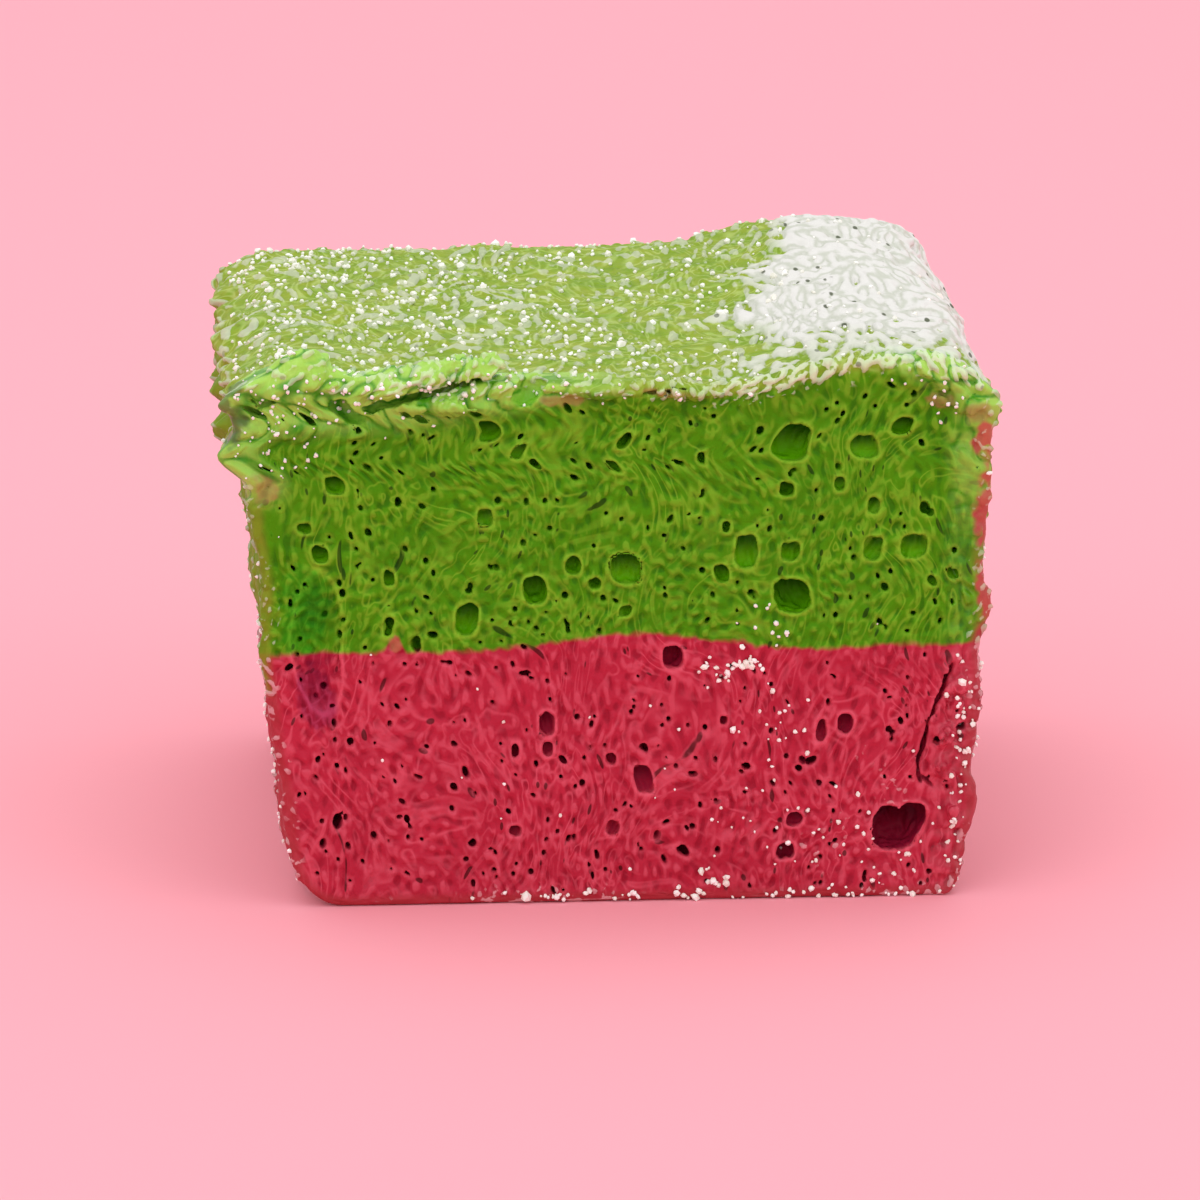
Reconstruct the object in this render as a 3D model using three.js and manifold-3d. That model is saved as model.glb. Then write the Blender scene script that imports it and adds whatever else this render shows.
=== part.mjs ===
// One block of two-layer marshmallow with its front cut open: green foam poured on red foam.
// Millimetres, +Z up, the origin in the middle of the flat base, the cut face looking along -Y.
// The other faces are the block's own soft skin, so they are uneven and their edges are round.
import * as THREE from "three";
import { mergeVertices } from "three/addons/utils/BufferGeometryUtils.js";
import Module from "manifold-3d";

// Driving dimensions of the block, before its sides are shaped
const width = 37.6;
const depth = 35;
const height = 27.6;
const redHeight = 13.5;
const layerGap = 0.3;

// Edge radii of the skin
const shoulderRadius = 2.4;
const backRadius = 3.6;
const leftFootRadius = 2.4;
const rightFootRadius = 1;

// How far the sides stand from the middle: at the base, at the top, and how the slope bends
const leftSide = { base: 15.8, top: 18.6, bend: 0.7 };
const rightSide = { base: 17.9, top: 19.6, bend: 0.5 };
const baseSetBack = 0.5;
const backBulge = 0.5;
const unevenness = 0.3;

// Two rolls of skin hang over the left side under the top edge, with uneven lumps along them
const rolls = { heights: [26.4, 23.6], reach: 1.1, out: 1, lump: 0.55, crowding: 1.8 };

// The top swells towards the right and the back, dips at the cut face and curls up at the left
const crown = { x: 12.5, reach: 6, front: 1, back: 1.6 };
const dip = { x: 6, reach: 4, deep: 0.6 };
const curl = { x: -16, reach: 3, high: 0.7 };

// The skin's lip stands proud of the cut face along its top edge
const lip = { out: 0.4, below: 0.7, reach: 0.9 };

// The surface between the layers rises in the middle and dips to the right of it
const layerRise = { x: 0.8, reach: 5, high: 0.8 };
const layerDip = { x: 9.5, reach: 2.2, deep: 0.2 };
const layerRolling = 0.35;

// How finely the block and the surface between its layers are divided
const blockSteps = { x: 24, y: 18, z: 22 };
const layerSteps = 14;
const layerReach = 30;

// Open air bubbles: middle on the cut face, width, height, and how deep they reach
const greenBubbles = [
  { x: 8.6, z: 16.2, wide: 1.95, high: 1.8, deep: 1.8 },
  { x: 8.9, z: 24, wide: 1.85, high: 1.85, deep: 1.3 },
  { x: 8.3, z: 21.7, wide: 0.75, high: 0.75, deep: 1.1 },
  { x: 12.5, z: 23.3, wide: 1.35, high: 1.15, deep: 0.5 },
  { x: 14.3, z: 24.3, wide: 1, high: 0.85, deep: 0.9 },
  { x: 6.4, z: 18.5, wide: 1.2, high: 1.85, deep: 0.6 },
  { x: 15.1, z: 18.4, wide: 1.4, high: 1.2, deep: 0.5 },
  { x: 0.1, z: 17.2, wide: 1.65, high: 1.75, deep: 0.6 },
  { x: -4.7, z: 16.5, wide: 1.25, high: 1.5, deep: 1.3 },
  { x: -8.2, z: 15.2, wide: 1.2, high: 1.7, deep: 0.7 },
  { x: -6.3, z: 25, wide: 1.05, high: 1.1, deep: 0.8 },
  { x: -14.5, z: 22, wide: 1.05, high: 0.9, deep: 0.7 },
];
const redBubbles = [
  { x: 14.7, z: 3.8, wide: 2.9, high: 2.4, deep: 2.2 },
  { x: 8.7, z: 2.6, wide: 1.1, high: 0.9, deep: 1 },
  { x: 8.9, z: 4.3, wide: 0.9, high: 0.75, deep: 0.6 },
  { x: 2.6, z: 12.4, wide: 1.1, high: 1.2, deep: 1.1 },
  { x: 11.7, z: 9.4, wide: 0.85, high: 1.1, deep: 0.7 },
  { x: 10.4, z: 9.1, wide: 0.6, high: 1.2, deep: 0.5 },
  { x: 0.8, z: 6.2, wide: 1.05, high: 1.4, deep: 0.6 },
  { x: -4.2, z: 9.4, wide: 0.85, high: 1.25, deep: 0.6 },
];

// A crease in the red foam beside its right edge, and a shallow dent across both layers
const crease = { x: 16.4, z: 9.6, wide: 6.2, high: 0.45, deep: 0.9, turn: 76 };
const dent = { x: -15.9, z: 14, wide: 2.6, high: 7, deep: 0.35 };

// The tear under the lip, which opens into a pocket at each end
const tears = [
  { x: -9.3, z: 27, wide: 6.4, high: 0.65, deep: 1.3, turn: 17 },
  { x: -4, z: 27.2, wide: 1.5, high: 1.9, deep: 1.3 },
  { x: -12.7, z: 26, wide: 1.5, high: 1.4, deep: 1.1 },
];

// Lumps of torn skin on the cut face: rolls above and under the tear, and the crumpled corners
const lumps = [
  { x: -10, z: 27.6, wide: 8, high: 1.4, out: 0.6, turn: 10 },
  { x: -8, z: 26.4, wide: 5, high: 1, out: 0.55, turn: -4 },
  { x: -15.4, z: 26.9, wide: 3.6, high: 2.8, out: 0.6 },
  { x: -15.8, z: 24.8, wide: 2.8, high: 1.6, out: 0.5, turn: -8 },
  { x: -1, z: 27.1, wide: 4.4, high: 0.9, out: 0.4 },
  { x: 16, z: 27, wide: 2.4, high: 1.8, out: 0.45, turn: -25 },
  { x: 17.4, z: 25.8, wide: 2, high: 1, out: 0.5, turn: 10 },
];

const wasm = await Module();
wasm.setup();

const { clamp, lerp, smoothstep, degToRad } = THREE.MathUtils;

// A height that is 1 at the middle and falls away smoothly on both sides.
const hump = (value, middle, reach) => Math.exp(-(((value - middle) / reach) ** 2));

// A gentle unevenness between about -1 and 1, different in every part of a face.
const uneven = (a, b) =>
  0.5 * Math.sin(0.9 * a + 0.4 * b) +
  0.3 * Math.sin(0.5 * a - 1.1 * b + 1) +
  0.2 * Math.sin(1.4 * a + 0.9 * b + 2);

const slope = (side, z) => lerp(side.base, side.top, clamp(z / height, 0, 1) ** side.bend);

const leftAt = (y, z) => {
  const lumpy = rolls.out + rolls.lump * uneven(rolls.crowding * y, rolls.crowding * z);
  const rolled = Math.max(...rolls.heights.map((high) => hump(z, high, rolls.reach)));
  return slope(leftSide, z) + lumpy * rolled + unevenness * uneven(y, z);
};

const rightAt = (y, z) => slope(rightSide, z) + unevenness * uneven(1.3 * z + 2, 0.8 * y);

const frontAt = (x, z) =>
  depth / 2 -
  baseSetBack * (1 - z / height) +
  lip.out * (0.6 + 0.4 * uneven(x, 0)) * hump(z, height - lip.below, lip.reach);

const backAt = (x, z) =>
  depth / 2 -
  baseSetBack * (1 - z / height) +
  backBulge * (1 - ((2 * x) / width) ** 2) +
  unevenness * uneven(x, z + 9);

const topAt = (x, y) => {
  const toBack = y / depth + 0.5;
  return (
    height +
    lerp(crown.front, crown.back, toBack) * hump(x, crown.x, crown.reach) -
    dip.deep * (1 - toBack) * hump(x, dip.x, dip.reach) +
    curl.high * (1 - toBack) * hump(x, curl.x, curl.reach) +
    unevenness * 0.6 * uneven(x, y) * smoothstep(toBack, 0, 0.3)
  );
};

const layerAt = (x, y) =>
  redHeight +
  layerRise.high * hump(x, layerRise.x, layerRise.reach) -
  layerDip.deep * hump(x, layerDip.x, layerDip.reach) +
  layerRolling * Math.sin(0.24 * (y + depth / 2)) * Math.cos(0.2 * x);

// Rounds the edges of the plain box, all but those of the cut face.
function roundOff(point) {
  const foot = lerp(leftFootRadius, rightFootRadius, smoothstep(point.x, -width / 4, width / 4));
  const radius = lerp(foot, shoulderRadius, smoothstep(point.z, height / 4, (3 * height) / 4));
  const inner = new THREE.Vector3(
    clamp(point.x, radius - width / 2, width / 2 - radius),
    Math.min(point.y, depth / 2 - backRadius),
    clamp(point.z, foot, height - shoulderRadius),
  );
  const squash = new THREE.Vector3(1, radius / backRadius, 1);
  const way = point.clone().sub(inner).multiply(squash);
  way.setLength(Math.max(Math.abs(way.x), way.y, Math.abs(way.z)));
  return point.copy(inner).add(way.divide(squash));
}

// Moves a point of the rounded box to its place in the real, uneven block.
function shape(point) {
  const { x, y, z } = point;
  return point.set(
    lerp(-leftAt(y, z), rightAt(y, z), x / width + 0.5),
    lerp(-frontAt(x, z), backAt(x, z), y / depth + 0.5),
    (z / height) * topAt(x, y),
  );
}

function eachVertex(geometry, move) {
  const position = geometry.getAttribute("position");
  const point = new THREE.Vector3();
  for (let i = 0; i < position.count; i++) {
    move(point.fromBufferAttribute(position, i));
    position.setXYZ(i, point.x, point.y, point.z);
  }
  return geometry;
}

function solidOf(geometry) {
  const bare = new THREE.BufferGeometry().setAttribute("position", geometry.getAttribute("position"));
  if (geometry.index) bare.setIndex(geometry.index);
  const merged = mergeVertices(bare, 1e-4);
  return new wasm.Manifold(
    new wasm.Mesh({
      numProp: 3,
      vertProperties: merged.getAttribute("position").array,
      triVerts: new Uint32Array(merged.index.array),
    }),
  );
}

function geometryOf(solid) {
  const mesh = solid.getMesh();
  const geometry = new THREE.BufferGeometry()
    .setAttribute("position", new THREE.BufferAttribute(mesh.vertProperties, mesh.numProp))
    .setIndex(new THREE.BufferAttribute(mesh.triVerts, 1));
  geometry.computeVertexNormals();
  return geometry;
}

function block() {
  const box = new THREE.BoxGeometry(width, depth, height, blockSteps.x, blockSteps.y, blockSteps.z);
  box.translate(0, 0, height / 2);
  return solidOf(eachVertex(box, (point) => shape(roundOff(point))));
}

// Everything on one side of the surface between the layers: side 1 is above it and -1 is below it.
function layerCutter(side) {
  const slab = new THREE.BoxGeometry(2 * layerReach, 2 * layerReach, 1, layerSteps, layerSteps, 1);
  const onLayer = (point) => point.z * side < 0;
  const farAway = side * 2 * layerReach;
  eachVertex(slab, (point) =>
    point.setZ(onLayer(point) ? layerAt(point.x, point.y) + (side * layerGap) / 2 : farAway),
  );
  return solidOf(slab);
}

// An egg-shaped solid with its middle this far in front of the cut face.
function egg({ x, z, wide, high, turn = 0 }, thick, ahead) {
  const geometry = new THREE.IcosahedronGeometry(0.5, 2);
  geometry.scale(wide, thick, high);
  geometry.rotateY(degToRad(-turn));
  geometry.translate(x, -frontAt(x, z) - ahead, z);
  return solidOf(geometry);
}

// A hollow is widest just inside the face, and a lump is mostly sunk in it.
const hollow = (bubble) => egg(bubble, 1.4 * bubble.deep, -0.3 * bubble.deep);
const raised = (lump) => egg(lump, 4 * lump.out, -lump.out);

const whole = block();
let green = whole.intersect(layerCutter(1));
for (const lump of lumps) green = green.add(raised(lump));
for (const bubble of [...greenBubbles, ...tears, dent]) green = green.subtract(hollow(bubble));

let red = whole.intersect(layerCutter(-1));
for (const bubble of [...redBubbles, crease, dent]) red = red.subtract(hollow(bubble));

const foam = (color) => new THREE.MeshStandardMaterial({ color, roughness: 0.75, metalness: 0 });

const greenLayer = new THREE.Mesh(geometryOf(green), foam(0x55840f));
greenLayer.name = "green_foam";
const redLayer = new THREE.Mesh(geometryOf(red), foam(0xb93547));
redLayer.name = "red_foam";

const marshmallow = new THREE.Group();
marshmallow.add(greenLayer, redLayer);

export default marshmallow;
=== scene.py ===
# %% [markdown]
# # A cut block of two-layer marshmallow
# This lesson dresses a packed model of one marshmallow: green foam that was poured on red foam, left
# to set, dusted with powder and cut open at the front. The packed solids hold its size and main form.
# Here they are only read, and finer meshes with the same form take their place.

# %% Load the packed model
import itertools
import math

import bmesh
import bpy
import numpy as np
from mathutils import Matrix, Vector


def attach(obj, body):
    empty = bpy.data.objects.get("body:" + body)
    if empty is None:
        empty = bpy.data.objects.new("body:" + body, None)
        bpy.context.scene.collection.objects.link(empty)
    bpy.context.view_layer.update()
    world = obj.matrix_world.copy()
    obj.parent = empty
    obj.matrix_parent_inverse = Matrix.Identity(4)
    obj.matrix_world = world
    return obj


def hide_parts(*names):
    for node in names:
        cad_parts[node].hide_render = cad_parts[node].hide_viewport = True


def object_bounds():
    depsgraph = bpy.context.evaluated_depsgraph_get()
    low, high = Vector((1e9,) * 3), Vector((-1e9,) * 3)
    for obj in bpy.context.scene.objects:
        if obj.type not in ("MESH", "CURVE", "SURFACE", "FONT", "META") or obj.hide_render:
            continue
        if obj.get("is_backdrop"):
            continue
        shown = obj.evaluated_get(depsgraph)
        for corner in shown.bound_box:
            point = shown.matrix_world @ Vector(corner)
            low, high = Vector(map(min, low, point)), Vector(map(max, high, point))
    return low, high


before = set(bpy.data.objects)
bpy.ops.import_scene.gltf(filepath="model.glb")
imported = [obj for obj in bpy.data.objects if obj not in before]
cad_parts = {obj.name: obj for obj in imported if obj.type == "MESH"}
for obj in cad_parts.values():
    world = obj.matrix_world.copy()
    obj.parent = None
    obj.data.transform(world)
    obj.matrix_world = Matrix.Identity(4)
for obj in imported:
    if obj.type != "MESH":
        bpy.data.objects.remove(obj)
cad_box = [[float(value) for value in corner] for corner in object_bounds()]
MM = 0.001
print("solids' box in mm:", [[round(value / MM, 2) for value in corner] for corner in cad_box])


def put(name, data, place=(0, 0, 0), aim=None):
    """A new object in the scene, turned to look at the aim if it has one."""
    item = bpy.data.objects.new(name, data)
    item.location = place
    if aim is not None:
        item.rotation_euler = (Vector(aim) - Vector(place)).to_track_quat("-Z", "Y").to_euler()
    bpy.context.scene.collection.objects.link(item)
    return item


# %% [markdown]
# ## The camera
# The photograph looks slightly down on the block from a place a little to its left, not quite 0.4 m
# away. The same place is kept here, because it decides how much of the top shows and how fast it
# narrows. Only the angle of view is smaller, so that the block fills the frame.

# %% Place the camera
CAMERA_PLACE = Vector((-24, -378.5, 111)) * MM
CAMERA_AIM = Vector((0, -10, 14.2)) * MM
VIEW_ANGLE = math.radians(9.3)

camera = put("camera", bpy.data.cameras.new("camera"), CAMERA_PLACE, CAMERA_AIM)
camera.data.angle = VIEW_ANGLE
camera.data.clip_start = 10 * MM
bpy.context.scene.camera = camera
print("camera at mm:", [round(value / MM, 1) for value in camera.location])

# %% [markdown]
# ## The light
# The photograph is lit softly: no hard shadow, a bright top and an even front. A wide lamp above the
# block lights the top, one at either side of the camera keeps the cut face bright, and a pale world
# fills the rest. No film-like curve changes the colours.

# %% Set up the lamps and the world
LAMP_SIZE = 0.5
WORLD_COLOUR = (1, 0.97, 0.98, 1)
WORLD_STRENGTH = 0.9
bpy.context.scene.view_settings.view_transform = "Standard"


def softbox(name, place, aim, watts):
    """A square area lamp at a place in metres that looks at another."""
    lamp = bpy.data.lights.new(name, "AREA")
    lamp.size = LAMP_SIZE
    lamp.energy = watts
    put(name, lamp, place, aim)


softbox("lamp_above", place=(-0.05, 0.06, 0.6), aim=(0, 0, 0), watts=0.9)
softbox("lamp_left", place=(-0.35, -0.5, 0.5), aim=(0, 0, 0.01), watts=0.7)
softbox("lamp_right", place=(0.5, -0.45, 0.4), aim=(0, 0, 0.01), watts=0.6)

world = bpy.data.worlds.new("pale_room")
world.use_nodes = True
background = world.node_tree.nodes["Background"]
background.inputs["Color"].default_value = WORLD_COLOUR
background.inputs["Strength"].default_value = WORLD_STRENGTH
bpy.context.scene.world = world
print("lamps:", [item.name for item in bpy.data.lights])

# %% [markdown]
# ## The form of the block
# The block starts as a plain box with round edges, and every point of that box is then moved to its
# place in the real, uneven block. The functions and the driving dimensions in millimetres are those
# of the solids.

# %% Driving dimensions
WIDTH, DEPTH, HEIGHT = 37.6, 35.0, 27.6
RED_HEIGHT = 13.5
FRONT = -DEPTH / 2
# Edge radii of the skin
SHOULDER, BACK_EDGE, LEFT_FOOT, RIGHT_FOOT = 2.4, 3.6, 2.4, 1.0
# How far the sides stand from the middle: at the base, at the top, and how the slope bends
LEFT_SIDE, RIGHT_SIDE = (15.8, 18.6, 0.7), (17.9, 19.6, 0.5)
BASE_SET_BACK, BACK_BULGE = 0.5, 0.5
UNEVENNESS = 0.3
# Rolls of skin over the left side, and the lip along the top of the cut face
ROLL_HEIGHTS, ROLL_REACH, ROLL_OUT, ROLL_LUMP, ROLL_CROWDING = (26.4, 23.6), 1.1, 1.0, 0.55, 1.8
LIP_OUT, LIP_BELOW, LIP_REACH = 0.4, 0.7, 0.9
# Swellings and dips of the top: place from left to right, and reach
CROWN, DIP, CURL = (12.5, 6), (6, 4), (-16, 3)
CROWN_FRONT, CROWN_BACK, DIP_DEEP, CURL_HIGH = 1, 1.6, 0.6, 0.7
# The same for the surface between the layers
RISE, SINK = (0.8, 5), (9.5, 2.2)
RISE_HIGH, SINK_DEEP, LAYER_ROLLING = 0.8, 0.2, 0.35
print("block in mm:", WIDTH, DEPTH, HEIGHT)


# %% The functions that shape the block
def hump(value, middle, reach):
    """1 at the middle, falling away smoothly on both sides."""
    return np.exp(-(((value - middle) / reach) ** 2))


def smooth_step(value, low, high):
    """0 up to low, 1 from high on, with a soft start and end between them."""
    share = np.clip((value - low) / (high - low), 0, 1)
    return share * share * (3 - 2 * share)


def mix(a, b, share):
    """a where the share is 0, b where it is 1."""
    return a + (b - a) * share


def uneven(a, b):
    """A gentle unevenness between about -1 and 1."""
    return (
        0.5 * np.sin(0.9 * a + 0.4 * b)
        + 0.3 * np.sin(0.5 * a - 1.1 * b + 1)
        + 0.2 * np.sin(1.4 * a + 0.9 * b + 2)
    )


def slope(z, base, top, bend):
    """How far a side stands from the middle, from its base up to its top."""
    return mix(base, top, np.clip(z / HEIGHT, 0, 1) ** bend)


def left_at(y, z):
    lumpy = ROLL_OUT + ROLL_LUMP * uneven(ROLL_CROWDING * y, ROLL_CROWDING * z)
    rolled = np.maximum(*(hump(z, height, ROLL_REACH) for height in ROLL_HEIGHTS))
    return slope(z, *LEFT_SIDE) + lumpy * rolled + UNEVENNESS * uneven(y, z)


def right_at(y, z):
    return slope(z, *RIGHT_SIDE) + UNEVENNESS * uneven(1.3 * z + 2, 0.8 * y)


def front_at(x, z):
    lip = LIP_OUT * (0.6 + 0.4 * uneven(x, 0)) * hump(z, HEIGHT - LIP_BELOW, LIP_REACH)
    return DEPTH / 2 - BASE_SET_BACK * (1 - z / HEIGHT) + lip


def back_at(x, z):
    bulge = BACK_BULGE * (1 - (2 * x / WIDTH) ** 2)
    return DEPTH / 2 - BASE_SET_BACK * (1 - z / HEIGHT) + bulge + UNEVENNESS * uneven(x, z + 9)


def top_at(x, y):
    to_back = y / DEPTH + 0.5
    crown = mix(CROWN_FRONT, CROWN_BACK, to_back) * hump(x, *CROWN)
    dip = DIP_DEEP * (1 - to_back) * hump(x, *DIP)
    curl = CURL_HIGH * (1 - to_back) * hump(x, *CURL)
    rough = 0.6 * UNEVENNESS * uneven(x, y) * smooth_step(to_back, 0, 0.3)
    return HEIGHT + crown - dip + curl + rough


def layer_at(x, y):
    rise = RISE_HIGH * hump(x, *RISE) - SINK_DEEP * hump(x, *SINK)
    return RED_HEIGHT + rise + LAYER_ROLLING * np.sin(0.24 * (y + DEPTH / 2)) * np.cos(0.2 * x)


def shaped(points):
    """Moves points of the round-edged box to their places in the real block."""
    x, y, z = points.T
    new_x = mix(-left_at(y, z), right_at(y, z), x / WIDTH + 0.5)
    new_y = mix(-front_at(x, z), back_at(x, z), y / DEPTH + 0.5)
    layer = layer_at(x, y)
    in_red = z / RED_HEIGHT * layer
    in_green = mix(layer, top_at(x, y), (z - RED_HEIGHT) / (HEIGHT - RED_HEIGHT))
    return np.stack([new_x, new_y, np.where(z < RED_HEIGHT, in_red, in_green)], axis=1)


def skin_distance(x, y, z):
    """How far a point is outside the round-edged box, leaving out the cut at the front."""
    foot = mix(LEFT_FOOT, RIGHT_FOOT, smooth_step(x, -WIDTH / 4, WIDTH / 4))
    radius = mix(foot, SHOULDER, smooth_step(z, HEIGHT / 4, 3 * HEIGHT / 4))
    way_x = x - np.clip(x, radius - WIDTH / 2, WIDTH / 2 - radius)
    way_z = z - np.clip(z, foot, HEIGHT - SHOULDER)
    way_y = np.maximum(y - (DEPTH / 2 - BACK_EDGE), 0) * radius / BACK_EDGE
    return np.sqrt(way_x**2 + way_y**2 + way_z**2) - radius


print("height in mm in the middle of the top:", round(float(top_at(0, 0)), 2))

# %% [markdown]
# ## Noise
# Skin and foam are uneven at every size. A lattice of seeded random numbers, smoothly blended between
# its points, gives that unevenness with the same result in each run. It is read on a whole grid at
# once or at loose points.

# %% A seeded lattice noise
def between(values, index, share):
    """Values between the points of a repeating lattice, blended from the eight around."""
    total = np.zeros(len(index), dtype=np.float32)
    for corner in range(8):
        offset = np.array([corner & 1, corner >> 1 & 1, corner >> 2 & 1])
        weight = np.prod(np.where(offset, share, 1 - share), axis=1)
        i, j, k = ((index + offset) % values.shape).T
        total += weight * values[i, j, k]
    return total


class Lattice:
    """Smooth random values between -1 and 1, with features about one cell across."""

    LOW, HIGH = -24.0, 32.0

    def __init__(self, seed, cell):
        self.cell = cell
        count = int((self.HIGH - self.LOW) / cell) + 2
        draw = np.random.default_rng(seed)
        self.values = draw.uniform(-1, 1, (count, count, count)).astype(np.float32)

    def steps(self, coordinate):
        """The lattice cell that each coordinate is in, and how far it is through the cell."""
        place = (np.asarray(coordinate, dtype=np.float32) - self.LOW) / self.cell
        index = np.floor(place).astype(np.int32)
        return index, smooth_step(place - index, 0, 1)

    def on_grid(self, xs, ys, zs):
        """The values at every point of a grid, from its three axes."""
        values = self.values
        for axis, coordinate in enumerate((xs, ys, zs)):
            index, share = self.steps(coordinate)
            share = share.reshape([-1 if i == axis else 1 for i in range(3)])
            values = mix(np.take(values, index, axis), np.take(values, index + 1, axis), share)
        return values

    def at(self, points):
        """The values at loose points."""
        return between(self.values, *self.steps(points))


print("lattice points a side for 1 mm cells:", Lattice(0, 1.0).values.shape[0])

# %% [markdown]
# Powder that has drawn moisture, and the cut strands of foam, lie in short winding ridges of nearly
# one width. So this noise keeps only the waves of one length, which gives such a maze. It is one
# repeating tile, read at points that slow noise has moved about, so that the repeat doesn't show.

# %% Noise of one wavelength
class Maze:
    """Winding ridges one wavelength apart. The values have a spread of 1 around 0."""

    CELLS, CELLS_A_WAVE, BAND_WIDTH, DRIFT_CELL = 96, 6, 0.22, 3.5

    def __init__(self, seed, wavelength):
        self.cell = wavelength / self.CELLS_A_WAVE
        frequency = np.fft.fftfreq(self.CELLS, self.cell) * wavelength
        waves = np.sqrt(sum(axis**2 for axis in np.meshgrid(frequency, frequency, frequency)))
        random = np.random.default_rng(seed).normal(size=waves.shape)
        values = np.fft.ifftn(np.fft.fftn(random) * hump(waves, 1, self.BAND_WIDTH)).real
        self.values = (values / values.std()).astype(np.float32)
        self.drift = [Lattice(seed + number, self.DRIFT_CELL) for number in (1, 2, 3)]

    def at(self, points):
        moved = points + np.stack([slow.at(points) for slow in self.drift], axis=1)
        index = np.floor(moved / self.cell).astype(np.int32)
        return between(self.values, index, moved / self.cell - index)


powder_maze = Maze(40, 0.72)
foam_maze = Maze(50, 0.5)
print("maze tile in mm:", round(powder_maze.cell * Maze.CELLS, 1))

# %% [markdown]
# ## The bubbles
# A cut through foam opens the air bubbles that it meets. The largest are where the photograph shows
# them, and many fine ones are drawn at random around them: most are a quarter of a millimetre wide,
# a few reach half a millimetre, and they are a little longer than wide. Each is an egg-shaped hollow
# with its middle near the cut face.

# %% The bubbles that show from a step away
# Middle on the cut face, width, height and depth in mm, and for the tears a turn in degrees
GREEN_BUBBLES = [
    (8.6, 16.2, 1.95, 1.8, 1.8), (8.9, 24, 1.85, 1.85, 1.3), (8.3, 21.7, 0.75, 0.75, 1.1),
    (12.5, 23.3, 1.35, 1.15, 0.5), (14.3, 24.3, 1, 0.85, 0.9), (6.4, 18.5, 1.2, 1.85, 0.6),
    (15.1, 18.4, 1.4, 1.2, 0.5), (13, 18.3, 1, 1.2, 0.4), (0.1, 17.2, 1.65, 1.75, 0.6),
    (-4.7, 16.5, 1.25, 1.5, 1.3), (-8.2, 15.2, 1.2, 1.7, 0.7), (-6.3, 25, 1.05, 1.1, 0.8),
    (-14.5, 22, 1.05, 0.9, 0.7), (-1.6, 16.5, 0.6, 0.65, 0.9), (-2.6, 17.6, 0.8, 1, 0.8),
    (0, 14.8, 0.6, 0.6, 0.5), (-12.2, 14.9, 0.5, 1, 0.9), (-12.2, 17.4, 0.6, 0.8, 0.6),
    (-15.6, 18.5, 0.85, 0.85, 0.7), (-16.2, 19.8, 0.7, 0.5, 0.5), (0.6, 24.3, 0.6, 0.9, 1),
    (0, 22.9, 0.5, 0.7, 0.6), (-3.7, 23.2, 0.5, 0.5, 0.9), (-4.4, 23.9, 0.6, 0.8, 0.5),
    (4.6, 23.6, 0.4, 0.65, 0.9), (-7, 20.5, 0.8, 1, 0.4), (5.1, 17.2, 0.8, 1, 0.8),
    (8.7, 18.5, 1, 1, 0.5), (17.2, 17.1, 0.6, 0.6, 0.4), (16, 16.7, 0.5, 0.5, 0.5),
    (-9.3, 25.8, 0.6, 0.6, 0.6), (5.3, 19.8, 0.5, 0.6, 0.8), (11, 21.6, 0.5, 0.7, 0.5),
    (12.8, 20.4, 0.6, 0.8, 0.5),
]
RED_BUBBLES = [
    (14.1, 3.9, 1.75, 2.1, 2.2), (15.3, 4, 1.75, 2.1, 2), (14.7, 3.5, 2.5, 1.95, 2.2),
    (8.7, 2.6, 1.1, 0.9, 1), (8.9, 4.3, 0.9, 0.75, 0.6), (2.6, 12.4, 1.1, 1.2, 1.1),
    (11.7, 9.4, 0.85, 1.1, 0.7), (10.4, 9.1, 0.6, 1.2, 0.5), (0.8, 6.2, 1.05, 1.4, 0.6),
    (-4.2, 9.4, 0.85, 1.25, 0.6), (-4.2, 8.1, 0.6, 0.8, 0.6), (-0.8, 7.3, 0.6, 0.6, 0.6),
    (-6.4, 3.9, 0.7, 0.6, 0.5), (-5.9, 8.1, 0.4, 0.8, 0.9), (-9.5, 6.3, 0.45, 0.4, 0.9),
    (5.2, 9.4, 0.4, 0.5, 0.6), (-1, 3.8, 0.7, 0.8, 0.4),
]
TEARS = [
    (-9.3, 27, 6.4, 0.65, 1.3, 17), (-4, 27.2, 1.5, 1.9, 1.3, 0), (-12.7, 26, 1.5, 1.4, 1.1, 0),
    (-11, 26.5, 1.8, 0.6, 0.9, 35), (-16, 26.2, 2.6, 0.3, 0.6, 20), (-6.5, 25.9, 0.5, 0.4, 0.7, 0),
    (-9.8, 26, 0.6, 0.45, 0.7, 0), (2.6, 27.2, 2.2, 0.25, 0.5, 4), (16.75, 10.9, 3.6, 0.3, 0.7, 68),
    (16, 7.9, 3.4, 0.3, 0.7, 86), (16.3, 6.2, 0.8, 0.28, 0.5, -50), (-15.9, 14, 2.6, 7, 0.35, 0),
]
print("large bubbles:", len(GREEN_BUBBLES + RED_BUBBLES), "and tears:", len(TEARS))

# %% The fine bubbles
FINE_BUBBLES = 460
FINE_SIZE, SIZE_SPREAD, MOST_SPREADS = 0.18, 0.06, 6
SHALLOWEST, DEEPEST = 0.35, 1.0
LONGEST = 1.9
TURN_SPREAD = 25
SIDE_MARGIN, FOOT_MARGIN, TOP_MARGIN = 0.8, 0.5, 1.2
WALL = 0.4


def flow_angle(x, z):
    """Which way the foam was pulled, in degrees from +X: mostly upwards, wandering slowly."""
    return 95 + 40 * np.sin(0.23 * x + 0.4 * np.sin(0.31 * z)) * np.cos(0.19 * z - 0.11 * x)


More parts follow.
